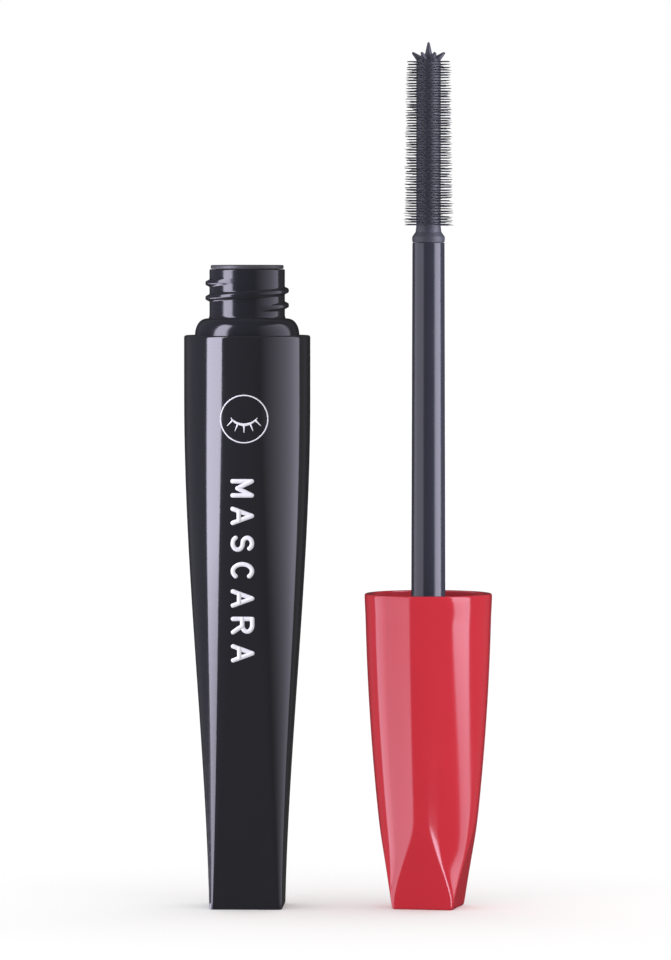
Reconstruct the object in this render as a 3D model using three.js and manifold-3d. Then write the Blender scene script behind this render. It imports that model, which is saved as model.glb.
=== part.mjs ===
// A mascara pack, opened: the bottle stands on its square end, and the applicator (the cap with its
// wand and brush) stands upside down beside it on its own square end.
// Millimetres, +Z up. The origin is the middle of the footprint, on the surface the pack stands on.
import * as THREE from "three";
import { mergeVertices } from "three/addons/utils/BufferGeometryUtils.js";
import Module from "manifold-3d";

const wasm = await Module();
wasm.setup();

// ---------------------------------------------------------------- driving dimensions

const FACETS = 40; // round a turned piece
const SMALL_FACETS = 32; // round the smaller ones
const FIT = 0.1; // clearance between pieces pressed or snapped together
const EDGE = 0.3; // rounding of the outer edges
const AXIS_SPACING = 25.85; // from the bottle's axis to the applicator's
const APPLICATOR_TURN = -10; // degrees the standing applicator is turned from the bottle's flats
const CLOSED_GAP = 0.2; // between the two mouths when the pack is closed

// Bottle: square with tight corners at its end, and round at its ledge. The flats narrow as it climbs.
const BOTTLE_HEIGHT = 81.7; // end face to the ledge that the cap's mouth meets
const BOTTLE_RADIUS = 9.0; // at the ledge
const BOTTLE_END = 5.12; // half width that the swell starts from
const BOTTLE_SWELL = [-8, 73]; // heights between which the half width grows
const BOTTLE_FLAT = 4.45; // half width of a flat at the end face
const BOTTLE_FLAT_END = 68; // height where the flats run out
const SLEEVE_FLOOR = 0.95;

// Inner bottle: a tapered vial with a domed shoulder and a threaded neck.
const VIAL_FLOOR = 1.1;
const VIAL_END_RADIUS = 4.12;
const VIAL_BEVEL = 0.9; // round the vial's end
const VIAL_BEVEL_TOP = 2;
const VIAL_RADIUS = 7.45;
const VIAL_TAPER_TOP = 60;
const VIAL_WALL_END = 0.5;
const VIAL_WALL = 0.85;
const SNAP_BEAD = 0.25; // ring that snaps into the sleeve
const SNAP_HEIGHT = 74;
const SNAP_RAMP = 0.5; // height of the slope on each side of the ring
const DOME_HEIGHT = 2.5;
const NECK_RADIUS = 5.38;
const NECK_BORE = 4.45;
const NECK_TOP = 91.1;

// Screw thread, right-handed, one start.
const PITCH = 2.1;
const THREAD_HEIGHT = 0.57;
const THREAD_WIDTH = 1.0;
const THREAD_START = 85.95; // height of the crest on the bottle's +X side, at turn 0
const THREAD_FIRST = -0.2; // the turns that the thread runs between
const THREAD_LAST = 1.7;

// Wiper: a soft insert in the neck that strips the brush as it is drawn out.
const WIPER_FLANGE = 5.2;
const WIPER_FLANGE_THICKNESS = 0.55;
const WIPER_BORE = 3.75;
const WIPER_ORIFICE = 2.6;
const WIPER_LENGTH = 11.1;

// Cap: a round swelling body with four flats cut into its end. Heights run from that end to its mouth.
const CAP_HEIGHT = 44.9;
const CAP_RADIUS = 9.05;
const CAP_FLARE = 0.1; // the lip spreads this much at the mouth
const CAP_CORNER = 6.4; // radius to the corners of the square end
const CAP_FLAT = 4.4; // from the axis to a flat at the end face
const CAP_FLAT_END = 11.2; // height where the flats run out
const CAP_FLAT_BOW = 1.17; // 1 is a straight flat; more bows it as it climbs
const CAP_SWELL = [7, 50]; // heights between which the radius grows
const CAP_FLOOR = 1.2;
const CAP_MOUTH_BORE = 8.05;
const CAP_SHELF = 41.0; // ledge inside the cap that the inner cap's rim sits on
const CAP_BORE = 7.15;
const CAP_BORE_FOOT = 24; // below this the cavity tapers with the outside
const CAP_CAVITY_WAIST = 5.75;
const CAP_CAVITY_WAIST_HEIGHT = 14;
const CAP_CAVITY_END = 3.75;

// Inner cap: the threaded liner that also holds the wand.
const LINER_RIM_THICKNESS = 0.8;
const LINER_THREAD_ROOT = 6.15;
const LINER_THREAD_HEIGHT = 0.55;
const LINER_THREAD_WIDTH = 0.8;
const LINER_THREAD_TURNS = 1.6;
const LINER_DECK = [32.4, 33.6]; // the disc across the liner
const LINER_LIP_RADIUS = 5.6; // keeps the gasket in
const BOSS_RADIUS = 3.6;
const BOSS_FLOOR = 26.4;
const SOCKET_RADIUS = 2.3;
const SOCKET_FLOOR = 27.1;

const GASKET = { inner: 2.75, outer: 5.85, bottom: 33.75, top: 34.85 };
const GASKET_PLAY = 0.15;

// Wand: the stem and the moulded brush.
const STEM_RADIUS = 2.43; // at the cap
const STEM_TIP_RADIUS = 2.29;
const STEM_TOP = 94.9;
const STEM_TAIL_RADIUS = 2.2;
const SHANK_RADIUS = 1.25; // the brush's root, pushed into the stem's end
const SHANK_DEPTH = 6.7;
const COLLAR_RADIUS = 2.33;
const CORE_RADIUS = 1.74;
const BRISTLES_FROM = 97.3;
const BRUSH_TOP = 123.4;
const CORE_TOP = 121.4;
const BRISTLE_REACH = 3.6; // radius of the bristle tips
const BRISTLE_ROOT = 0.17;
const BRISTLE_ROWS = 8;
const BRISTLES_PER_ROW = 18;
const TIP_SPIKES = 6;

const LABEL_RADIUS = 3.8;
const LABEL_THICKNESS = 0.12;
const LABEL_RECESS = 0.3;

// ---------------------------------------------------------------- form of the two shells

const { clamp, degToRad, lerp, smoothstep } = THREE.MathUtils;

// How far an outer edge is drawn in, a quarter round at each end of a shell of this height.
function edgeInset(height, z) {
  const t = 1 - clamp(Math.min(z, height - z) / EDGE, 0, 1);
  return EDGE * (1 - Math.sqrt(1 - t * t));
}

// A ramp that stays above zero: it follows `value` while that is large, and eases out below.
const eased = (value, ease) => (value + Math.hypot(value, ease)) / 2;

const bottleHalfWidth = (z) => lerp(BOTTLE_END, BOTTLE_RADIUS, smoothstep(z, ...BOTTLE_SWELL));

const bottleFlat = (z) => eased(BOTTLE_FLAT * (1 - z / BOTTLE_FLAT_END), 0.6);

function capRadius(z) {
  const [from, to] = CAP_SWELL;
  const left = 1 - eased(z - from, 2) / (to - from);
  const flare = CAP_FLARE * smoothstep(z, CAP_HEIGHT - 4, CAP_HEIGHT);
  return lerp(CAP_CORNER, CAP_RADIUS, 1 - left * left) + flare;
}

function capFlat(z) {
  const climbed = Math.max(z, 0) / CAP_FLAT_END;
  return lerp(CAP_FLAT, capRadius(CAP_FLAT_END), climbed ** CAP_FLAT_BOW);
}

// ---------------------------------------------------------------- geometry helpers

// A turned piece. The section is a list of [radius, height] points that runs out along the bottom,
// up the outside and back down the inside; it starts and ends on the axis, or closes on itself.
function turned(section, facets = FACETS) {
  const outline = section.map(([radius, height]) => new THREE.Vector2(radius, height));
  return new THREE.LatheGeometry(outline, facets).rotateX(Math.PI / 2);
}

// A solid body of this height, turned to the radius given at each level, with eased end edges.
function turnedBody(height, radius, steps) {
  const heights = [0, EDGE / 4, EDGE];
  for (let i = 1; i < steps; i++) heights.push(lerp(EDGE, height - EDGE, i / steps));
  heights.push(height - EDGE, height - EDGE / 4, height);
  const outside = heights.map((z) => [radius(z) - edgeInset(height, z), z]);
  return turned([[0, 0], ...outside, [0, height]]);
}

// Moves every point of a geometry: `shift` takes x, y and z and gives the new x and y.
function reshaped(geometry, shift) {
  const points = geometry.getAttribute("position");
  for (let i = 0; i < points.count; i++) {
    points.setXY(i, ...shift(points.getX(i), points.getY(i), points.getZ(i)));
  }
  return geometry;
}

// A closed skin through rings of points, each ring having as many, with a flat cap at each end.
function skinned(rings) {
  const size = rings[0].length;
  const index = [];
  for (let r = 0; r + 1 < rings.length; r++) {
    for (let k = 0; k < size; k++) {
      const a = r * size + k;
      const b = r * size + ((k + 1) % size);
      index.push(a, a + size, b, b, a + size, b + size);
    }
  }
  const last = (rings.length - 1) * size;
  for (let k = 1; k + 1 < size; k++) {
    index.push(0, k, k + 1);
    index.push(last, last + k + 1, last + k);
  }
  return new THREE.BufferGeometry().setFromPoints(rings.flat()).setIndex(index);
}

// A right-handed thread ridge from turn `first` to turn `last`. It stands `rise` out of a wall of this
// radius, inwards if rise is negative, and its crest is at height `start` on the +X side at turn 0.
function threadRidge({ wall, rise, width, start, first, last }) {
  const rings = [];
  const from = Math.round(first * FACETS);
  const to = Math.round(last * FACETS);
  const root = -0.2 * Math.sign(rise); // buried in the wall, as both ends of the crest are
  for (let i = from; i <= to; i++) {
    const angle = (2 * Math.PI * i) / FACETS;
    const z = start + (PITCH * i) / FACETS;
    const crest = lerp(root / 2, rise, clamp(Math.min(i - from, to - i) / 4, 0, 1));
    const ring = [
      [root, -width / 2],
      [crest, -width / 6],
      [crest, width / 6],
      [root, width / 2],
    ].map(([out, up]) => {
      const radius = wall + out;
      return new THREE.Vector3(radius * Math.cos(angle), radius * Math.sin(angle), z + up);
    });
    rings.push(rise > 0 ? ring : ring.reverse());
  }
  return skinned(rings);
}

// A closed geometry as a manifold-3d solid.
function solid(geometry) {
  const bare = geometry.clone();
  bare.deleteAttribute("normal");
  bare.deleteAttribute("uv");
  const merged = mergeVertices(bare, 1e-4);
  const mesh = new wasm.Mesh({
    numProp: 3,
    vertProperties: merged.getAttribute("position").array,
    triVerts: new Uint32Array(merged.index.array),
  });
  return new wasm.Manifold(mesh);
}

// A solid back as a geometry.
function asGeometry(whole) {
  const mesh = whole.getMesh();
  const geometry = new THREE.BufferGeometry();
  geometry.setAttribute("position", new THREE.BufferAttribute(mesh.vertProperties, 3));
  geometry.setIndex(new THREE.BufferAttribute(mesh.triVerts, 1));
  geometry.computeVertexNormals();
  return geometry;
}

// Pieces moulded as one: their closed geometries joined.
function joined(geometries) {
  return asGeometry(geometries.map(solid).reduce((whole, next) => whole.add(next)));
}

// A body with hollows cut out of it.
function hollowed(body, hollows) {
  return asGeometry(hollows.map(solid).reduce((left, hollow) => left.subtract(hollow), solid(body)));
}

function material(color, roughness) {
  return new THREE.MeshStandardMaterial({ color, roughness, metalness: 0 });
}

function piece(name, geometry, finish) {
  const mesh = new THREE.Mesh(geometry, finish);
  mesh.name = name;
  return mesh;
}

// ---------------------------------------------------------------- bottle

const vialTaper = (z) =>
  lerp(VIAL_END_RADIUS, VIAL_RADIUS, clamp((z - VIAL_FLOOR) / (VIAL_TAPER_TOP - VIAL_FLOOR), 0, 1));

// Draws a round level in by the flats' half width and moves its four quarters apart by as much. The
// sides keep their distance from the axis, and the quarters become the corners between the flats.
function quartered(x, y, z) {
  const flat = bottleFlat(z);
  const reach = Math.hypot(x, y);
  const left = Math.max(reach - flat, 0) / Math.max(reach, flat);
  const onAxis = 1e-4;
  return [x, y].map((value) => {
    const apart = Math.abs(value) > onAxis ? Math.sign(value) * flat : 0;
    return value * left + apart;
  });
}

// Outer sleeve: square at its end, round at its ledge, bored to take the inner bottle.
function bottleSleeve() {
  const body = reshaped(turnedBody(BOTTLE_HEIGHT, bottleHalfWidth, 13), quartered);
  const above = BOTTLE_HEIGHT + 1; // clear of the body, so that the bore opens through its ledge
  const bore = turned([
    [0, SLEEVE_FLOOR],
    [VIAL_END_RADIUS - VIAL_BEVEL + FIT, SLEEVE_FLOOR],
    [vialTaper(VIAL_BEVEL_TOP) + FIT, VIAL_BEVEL_TOP - FIT],
    [VIAL_RADIUS + FIT, VIAL_TAPER_TOP],
    [VIAL_RADIUS + FIT, SNAP_HEIGHT - SNAP_RAMP - FIT],
    [VIAL_RADIUS + FIT + SNAP_BEAD, SNAP_HEIGHT],
    [VIAL_RADIUS + FIT, SNAP_HEIGHT + SNAP_RAMP + FIT],
    [VIAL_RADIUS + FIT, above],
    [0, above],
  ]);
  const recess = turned([
    [0, -1],
    [LABEL_RADIUS + FIT, -1],
    [LABEL_RADIUS + FIT, LABEL_RECESS],
    [0, LABEL_RECESS],
  ]);
  return hollowed(body, [bore, recess]);
}

// Inner bottle: vial, domed shoulder and threaded neck in one moulding.
function innerBottle() {
  const dome = [];
  for (let i = 1; i <= 5; i++) {
    const a = (Math.PI / 2) * (i / 5);
    const out = (VIAL_RADIUS - NECK_RADIUS - 0.1) * Math.cos(a);
    dome.push([NECK_RADIUS + 0.1 + out, BOTTLE_HEIGHT + DOME_HEIGHT * Math.sin(a)]);
  }
  const inside = (z) => vialTaper(z) - lerp(VIAL_WALL_END, VIAL_WALL, z / BOTTLE_HEIGHT);
  const section = [
    [0, VIAL_FLOOR],
    [VIAL_END_RADIUS - VIAL_BEVEL, VIAL_FLOOR],
    [vialTaper(VIAL_BEVEL_TOP), VIAL_BEVEL_TOP],
    [VIAL_RADIUS, VIAL_TAPER_TOP],
    [VIAL_RADIUS, SNAP_HEIGHT - SNAP_RAMP],
    [VIAL_RADIUS + SNAP_BEAD, SNAP_HEIGHT],
    [VIAL_RADIUS, SNAP_HEIGHT + SNAP_RAMP],
    [VIAL_RADIUS, BOTTLE_HEIGHT],
    ...dome,
    [NECK_RADIUS, BOTTLE_HEIGHT + DOME_HEIGHT + 0.2],
    [NECK_RADIUS, NECK_TOP - 0.2],
    [NECK_RADIUS - 0.2, NECK_TOP],
    [NECK_BORE, NECK_TOP],
    [NECK_BORE, BOTTLE_HEIGHT + 1],
    [inside(VIAL_TAPER_TOP), BOTTLE_HEIGHT - 1.2],
    [inside(VIAL_TAPER_TOP), VIAL_TAPER_TOP],
    [inside(2.6), 2.6],
    [2.6, VIAL_FLOOR + 0.6],
    [0, VIAL_FLOOR + 0.6],
  ];
  const thread = threadRidge({
    wall: NECK_RADIUS,
    rise: THREAD_HEIGHT,
    width: THREAD_WIDTH,
    start: THREAD_START,
    first: THREAD_FIRST,
    last: THREAD_LAST,
  });
  return joined([turned(section), thread]);
}

// Wiper: flange on the neck's top, sleeve in its bore, and a thin cone with the orifice at its foot.
function wiper() {
  const seat = NECK_TOP + 0.05;
  const top = seat + WIPER_FLANGE_THICKNESS;
  const foot = top - WIPER_LENGTH;
  const outer = NECK_BORE - FIT / 2;
  const section = [
    [WIPER_ORIFICE, foot],
    [WIPER_ORIFICE + 0.4, foot],
    [outer - 0.35, foot + 3.6],
    [outer, foot + 4.4],
    [outer, seat],
    [WIPER_FLANGE, seat],
    [WIPER_FLANGE, top - 0.2],
    [WIPER_FLANGE - 0.2, top],
    [WIPER_BORE + 0.3, top],
    [WIPER_BORE, top - 0.6],
    [WIPER_BORE, foot + 4.5],
    [WIPER_BORE - 0.15, foot + 3.8],
    [WIPER_ORIFICE, foot],
  ];
  return turned(section, SMALL_FACETS);
}

// Round sticker in the recess of the end face.
function baseLabel() {
  return new THREE.CylinderGeometry(LABEL_RADIUS, LABEL_RADIUS, LABEL_THICKNESS, SMALL_FACETS)
    .rotateX(Math.PI / 2)
    .translate(0, 0, LABEL_RECESS - 0.03 - LABEL_THICKNESS / 2);
}

// ---------------------------------------------------------------- applicator

// Cap shell, standing on its square end with its mouth up.
function capShell() {
  const body = reshaped(turnedBody(CAP_HEIGHT, capRadius, 14), (x, y, z) => {
    const flat = capFlat(z) - edgeInset(CAP_HEIGHT, z);
    return [clamp(x, -flat, flat), clamp(y, -flat, flat)];
  });
  const above = CAP_HEIGHT + 1;
  const cavity = turned([
    [0, CAP_FLOOR],
    [CAP_CAVITY_END - 0.75, CAP_FLOOR],
    [CAP_CAVITY_END, CAP_FLOOR + 1.2],
    [CAP_CAVITY_WAIST, CAP_CAVITY_WAIST_HEIGHT],
    [CAP_BORE, CAP_BORE_FOOT],
    [CAP_BORE, CAP_SHELF],
    [CAP_MOUTH_BORE, CAP_SHELF],
    [CAP_MOUTH_BORE, above],
    [0, above],
  ]);
  return hollowed(body, [cavity]);
}

// Inner cap: threaded skirt, rim on the cap's shelf, deck that backs the gasket, and boss for the stem.
// Its ridge lies half a pitch from the bottle's when the cap is screwed down.
function innerCap() {
  const outer = CAP_BORE - FIT;
  const rim = CAP_SHELF + FIT;
  const [deckUnder, deckTop] = LINER_DECK;
  const recess = GASKET.outer + GASKET_PLAY;
  const lip = GASKET.top + GASKET_PLAY;
  const section = [
    [0, BOSS_FLOOR],
    [BOSS_RADIUS, BOSS_FLOOR],
    [BOSS_RADIUS, deckUnder],
    [outer, deckUnder],
    [outer, rim],
    [CAP_MOUTH_BORE - FIT, rim],
    [CAP_MOUTH_BORE - FIT, rim + LINER_RIM_THICKNESS],
    [LINER_THREAD_ROOT + 0.2, rim + LINER_RIM_THICKNESS],
    [LINER_THREAD_ROOT, rim + LINER_RIM_THICKNESS - 0.3],
    [LINER_THREAD_ROOT, lip + 0.5],
    [LINER_LIP_RADIUS, lip + 0.3],
    [LINER_LIP_RADIUS, lip],
    [recess, lip],
    [recess, deckTop],
    [SOCKET_RADIUS, deckTop],
    [SOCKET_RADIUS, SOCKET_FLOOR],
    [0, SOCKET_FLOOR],
  ];
  const thread = threadRidge({
    wall: LINER_THREAD_ROOT,
    rise: -LINER_THREAD_HEIGHT,
    width: LINER_THREAD_WIDTH,
    start: CAP_HEIGHT + CLOSED_GAP + BOTTLE_HEIGHT - THREAD_START - 1.5 * PITCH,
    first: 0,
    last: LINER_THREAD_TURNS,
  });
  return joined([turned(section), thread]);
}

// Soft sealing ring. It is held along the axis by the inner cap's lip, and free to turn.
function sealGasket() {
  const { inner, outer, bottom, top } = GASKET;
  const section = [
    [inner, bottom],
    [outer, bottom],
    [outer, top],
    [inner, top],
    [inner, bottom],
  ];
  return turned(section, SMALL_FACETS);
}

// Stem: its tail sits in the inner cap's socket, and its other end is bored for the brush.
function wandStem() {
  const bore = SHANK_RADIUS + FIT;
  const shoulder = LINER_DECK[1] + FIT;
  const section = [
    [0, SOCKET_FLOOR + FIT],
    [STEM_TAIL_RADIUS - 0.2, SOCKET_FLOOR + FIT],
    [STEM_TAIL_RADIUS, SOCKET_FLOOR + 0.4],
    [STEM_TAIL_RADIUS, shoulder],
    [STEM_RADIUS, shoulder],
    [STEM_RADIUS, CAP_HEIGHT],
    [STEM_TIP_RADIUS, STEM_TOP - 0.15],
    [STEM_TIP_RADIUS - 0.12, STEM_TOP],
    [bore, STEM_TOP],
    [bore, STEM_TOP - SHANK_DEPTH - 0.3],
    [0, STEM_TOP - SHANK_DEPTH - 0.3],
  ];
  return turned(section, SMALL_FACETS);
}

// One bristle: a slim three-sided spike from the middle of the core out to `reach`.
function bristle(reach, from, direction) {
  const spike = new THREE.ConeGeometry(BRISTLE_ROOT * 1.5, reach, 3).translate(0, reach / 2, 0);
  const turn = new THREE.Quaternion().setFromUnitVectors(new THREE.Vector3(0, 1, 0), direction);
  return spike.applyQuaternion(turn).translate(from.x, from.y, from.z);
}

// Brush: shank, collar, core and bristles in one soft moulding.
function brush() {
  const seat = STEM_TOP + 0.1;
  const lastRing = CORE_TOP - CORE_RADIUS;
  const slope = CORE_RADIUS * Math.SQRT1_2; // halfway round the core's domed end
  const core = turned(
    [
      [0, STEM_TOP - SHANK_DEPTH],
      [SHANK_RADIUS, STEM_TOP - SHANK_DEPTH],
      [SHANK_RADIUS, seat],
      [COLLAR_RADIUS - 0.1, seat],
      [COLLAR_RADIUS, seat + 0.25],
      [COLLAR_RADIUS, seat + 0.7],
      [CORE_RADIUS + 0.1, seat + 1.6],
      [CORE_RADIUS, BRISTLES_FROM],
      [CORE_RADIUS, lastRing],
      [slope, lastRing + slope],
      [0, CORE_TOP],
    ],
    20,
  );
  const pieces = [core];
  const pitch = (lastRing - BRISTLES_FROM) / (BRISTLES_PER_ROW - 0.5);
  for (let row = 0; row < BRISTLE_ROWS; row++) {
    const angle = (2 * Math.PI * row) / BRISTLE_ROWS;
    const out = new THREE.Vector3(Math.cos(angle), Math.sin(angle), 0);
    for (let i = 0; i < BRISTLES_PER_ROW; i++) {
      const z = BRISTLES_FROM + pitch * (i + (row % 2) / 2);
      pieces.push(bristle(BRISTLE_REACH, new THREE.Vector3(0, 0, z), out));
    }
  }
  const head = new THREE.Vector3(0, 0, lastRing);
  for (let k = 0; k < TIP_SPIKES; k++) {
    const angle = (2 * Math.PI * k) / TIP_SPIKES;
    const up = new THREE.Vector3(Math.cos(angle), Math.sin(angle), 1).normalize();
    pieces.push(bristle(BRISTLE_REACH * 0.95, head, up));
  }
  pieces.push(bristle(BRUSH_TOP - lastRing, head, new THREE.Vector3(0, 0, 1)));
  return joined(pieces);
}

// ---------------------------------------------------------------- the pack

const glossBlack = material(0x141418, 0.12);
const neckBlack = material(0x17171b, 0.18);
const wiperGrey = material(0x2b2b30, 0.5);
const glossRed = material(0xc4202e, 0.18);
const linerBlack = material(0x1b1b1e, 0.4);
const sealWhite = material(0xd9d7d0, 0.7);
const stemBlack = material(0x1d1e26, 0.22);
const brushGrey = material(0x2a2c34, 0.55);
const labelWhite = material(0xe9e8e4, 0.6);

const bottle = new THREE.Group();
bottle.add(
  piece("bottle_sleeve", bottleSleeve(), glossBlack),
  piece("inner_bottle", innerBottle(), neckBlack),
  piece("wiper", wiper(), wiperGrey),
  piece("base_label", baseLabel(), labelWhite),
);

const applicator = new THREE.Group();
applicator.add(
  piece("cap_shell", capShell(), glossRed),
  piece("inner_cap", innerCap(), linerBlack),
  piece("seal_gasket", sealGasket(), sealWhite),
  piece("wand_stem", wandStem(), stemBlack),
  piece("brush", brush(), brushGrey),
);

// The footprint runs from the bottle's left side to the cap's right side, and the origin is its middle.
const capReach = CAP_RADIUS + CAP_FLARE;
bottle.position.x = -(AXIS_SPACING + capReach - BOTTLE_RADIUS) / 2;
applicator.position.x = bottle.position.x + AXIS_SPACING;
applicator.rotation.z = degToRad(APPLICATOR_TURN);

const pack = new THREE.Group();
pack.add(bottle, applicator);

export default pack;
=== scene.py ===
"""Looks of an opened mascara pack: a black bottle, and a red cap that stands inverted with its wand up.

Shapes are worked out in millimetres about the bottle's or the applicator's own axis, and each finished
piece is placed on the axis that the frame gives.
"""

import math
import random

import bmesh
import bpy
from mathutils import Matrix, Vector

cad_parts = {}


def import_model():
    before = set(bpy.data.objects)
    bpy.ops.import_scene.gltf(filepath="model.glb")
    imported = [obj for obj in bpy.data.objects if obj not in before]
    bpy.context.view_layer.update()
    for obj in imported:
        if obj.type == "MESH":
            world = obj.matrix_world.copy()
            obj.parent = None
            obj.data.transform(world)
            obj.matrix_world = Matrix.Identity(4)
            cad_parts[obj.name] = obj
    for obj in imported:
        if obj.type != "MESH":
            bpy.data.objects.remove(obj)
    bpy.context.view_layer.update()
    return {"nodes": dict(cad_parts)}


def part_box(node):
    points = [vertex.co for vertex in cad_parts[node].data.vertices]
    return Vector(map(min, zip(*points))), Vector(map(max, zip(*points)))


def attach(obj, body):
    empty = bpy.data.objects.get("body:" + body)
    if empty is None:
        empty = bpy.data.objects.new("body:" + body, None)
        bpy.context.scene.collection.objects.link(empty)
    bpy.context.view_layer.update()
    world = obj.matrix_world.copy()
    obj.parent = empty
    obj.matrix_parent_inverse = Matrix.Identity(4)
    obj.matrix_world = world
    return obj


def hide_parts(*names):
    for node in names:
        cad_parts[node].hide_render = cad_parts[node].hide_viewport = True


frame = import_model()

MM = 0.001
TINY = 1e-6  # a length under this counts as zero
SEGMENTS = 96  # round a small turned piece
SHELL_SEGMENTS = 360  # round a shell, fine enough for its facet edges
FAN = 1  # radius of the fan of faces in the middle of a flat end
SMALL_FAN = 0.5

# ------------------------------------------------------------------ sizes read from the frame


def node_box(node):
    """Lowest and highest corner of a CAD node, in millimetres."""
    low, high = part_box(node)
    return low / MM, high / MM


sleeve_low, sleeve_high = node_box("bottle_sleeve")
vial_low, vial_high = node_box("inner_bottle")
wiper_low, wiper_high = node_box("wiper")
label_low, label_high = node_box("base_label")
cap_low, cap_high = node_box("cap_shell")
liner_low, liner_high = node_box("inner_cap")
gasket_low, gasket_high = node_box("seal_gasket")
stem_low, stem_high = node_box("wand_stem")
brush_low, brush_high = node_box("brush")

BOTTLE_AXIS = (sleeve_low + sleeve_high).x / 2
WAND_AXIS = (stem_low + stem_high).x / 2
APPLICATOR_TURN = math.radians(-10)
FIT = 0.1  # clearance between pieces pressed together
EDGE = 0.3  # rounding of the shells' end edges

BOTTLE_HEIGHT = sleeve_high.z
BOTTLE_RADIUS = (sleeve_high - sleeve_low).x / 2
BOTTLE_END = 5.12  # half width that the swell starts from
BOTTLE_SWELL = (-8, 73)  # heights between which the half width grows
BOTTLE_FLAT = 4.45  # half width of a flat at the end face
BOTTLE_FLAT_END = 68  # height where the flats run out
BOTTLE_FLAT_EASE = 0.6  # how gently they do
SLEEVE_FLOOR = 0.95
LABEL_RECESS = 0.3
LABEL_BORE = (label_high - label_low).x / 2 + FIT

SNAP_BEAD = 0.25  # ring that snaps into the sleeve
SNAP_HEIGHT = 74
SNAP_RAMP = 0.6  # height of the slope on each side of the ring
VIAL_FLOOR = vial_low.z
VIAL_END_RADIUS = 4.12
VIAL_BEVEL = 0.9  # round the vial's end
VIAL_BEVEL_TOP = 2
VIAL_RADIUS = (vial_high - vial_low).x / 2 - SNAP_BEAD
VIAL_TAPER_TOP = 60
VIAL_WALL = 0.85
VIAL_FLOOR_THICKNESS = 0.6
VIAL_INNER_END = 2.6  # radius of the flat part of its floor
DOME_HEIGHT = 2.4
DOME_FULLNESS = 0.8  # 1 is a quarter of an ellipse; less is fuller
DOME_INSIDE = (-1.2, 1)  # heights over the ledge between which the inside narrows to the neck
NECK_RADIUS = 5.38
NECK_BORE = 4.45
NECK_FILLET = (0.12, 0.4)  # reach and height of the curve at the neck's foot
NECK_TOP = vial_high.z
NECK_EDGE = 0.3  # height of the plain wall under its top
NECK_STEP = 0.05  # from that wall down to the first ring that the thread can shape

PITCH = 2.1
THREAD_HEIGHT = 0.57
THREAD_WIDTH = 1.15
THREAD_START = 85.95  # height of the crest on the +X side at turn 0
THREAD_TURNS = (-0.2, 1.7)  # the turns that the thread runs between
THREAD_GROWTH = 6  # how many times its full height a ridge would gain in a turn from its end

WIPER_BORE = 3.75
WIPER_ORIFICE = 2.6
WIPER_LIP = 0.4  # thickness of the cone at its orifice
WIPER_CONE = 3.6  # height of the cone
WIPER_SLOPE = 0.8  # height of the slope from the cone out to the sleeve
WIPER_WAIST = 0.35  # inset of that slope's foot
WIPER_THROAT = 0.15  # inset of the same slope inside
WIPER_FLANGE = (wiper_high - wiper_low).x / 2
WIPER_FLANGE_THICKNESS = 0.55

CAP_HEIGHT = cap_high.z
CAP_FLARE = 0.08  # the lip spreads this much at the mouth
CAP_FLARE_LENGTH = 4
CAP_RADIUS = (cap_high - cap_low).x / 2 - CAP_FLARE / 2
CAP_CORNER = 6.4  # radius to the corners of the square end
CAP_FLAT = 4.4  # from the axis to a flat at the end face
CAP_FLAT_END = 11.2  # height where the flats run out
CAP_FLAT_BOW = 1.17  # 1 is a straight flat; more bows it as it climbs
CAP_SWELL = (7, 50)  # heights between which the radius grows
CAP_SWELL_EASE = 2  # how gently it starts to
CAP_CRISPNESS = 45  # higher makes the edges of the flats crisper
CAP_FLOOR = 1.2
CAP_MOUTH_BORE = 8.05
CAP_SHELF = 41  # ledge inside the cap that the inner cap's rim sits on
CAP_BORE = 7.15
CAP_BORE_FOOT = 24  # below this the cavity tapers with the outside
CAP_CAVITY_WAIST = 5.75
CAP_CAVITY_WAIST_HEIGHT = 14
CAP_CAVITY_END = 3.75
CAP_CAVITY_BEVEL = 0.75

LINER_RIM_TOP = liner_high.z
LINER_RIM_THICKNESS = 0.8
LINER_RIM_RADIUS = (liner_high - liner_low).x / 2
LINER_THREAD_ROOT = 6.15
LINER_THREAD_HEIGHT = 0.55
LINER_THREAD_WIDTH = 1.0
LINER_THREAD_START = 37.6
LINER_THREAD_TURNS = (0, 1.6)
LINER_DECK = (32.4, 33.6)  # the disc across the liner
LINER_LIP_RADIUS = 5.6  # keeps the gasket in
LINER_LIP_THICKNESS = (0.3, 0.5)  # at its edge, and at the wall
LINER_LEAD_IN = (0.2, 0.3)  # width and height of the bevel at the mouth
LINER_STEP = 0.1  # plain wall between a bevel and the thread
BOSS_RADIUS = 3.6
BOSS_FLOOR = liner_low.z
SOCKET_RADIUS = 2.3
SOCKET_FLOOR = 27.1
GASKET_BORE = 2.75
GASKET_RADIUS = (gasket_high - gasket_low).x / 2
GASKET_PLAY = 0.15

STEM_RADIUS = (stem_high - stem_low).x / 2
STEM_TIP_RADIUS = 2.29
STEM_FOOT = stem_low.z
STEM_TOP = stem_high.z
STEM_TAIL_RADIUS = 2.2
SHANK_RADIUS = 1.25  # the brush's root, pushed into the stem's end
SHANK_PLAY = 0.3  # under the shank
COLLAR_RADIUS = 2.33
COLLAR_GAP = 0.02  # over the stem's end
COLLAR_BEVEL = 0.08
COLLAR_BAND = (0.3, 0.8)  # heights over its foot where it is full
COLLAR_TOP = 1.5
CORE_FOOT = 0.1  # the core is wider by this at the collar
CORE_RADIUS = 1.74
HEAD_HEIGHT = brush_high.z - 2.8  # where the core's domed end starts
HEAD_RISE = 1.0  # height of the dome
DOME_ANGLE = math.radians(81)  # where its rings end; a fan closes the rest
CROWN_HEIGHT = brush_high.z - 3.5  # the place that the crown's spikes spread from
BRISTLES_FROM = 97.3
BRISTLES_GAP = 0.15  # from there to the lowest ring
BRISTLE_REACH = (brush_high - brush_low).x / 2 / math.cos(APPLICATOR_TURN)
BRISTLE_ROOT = 0.11  # half thicknesses
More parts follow.
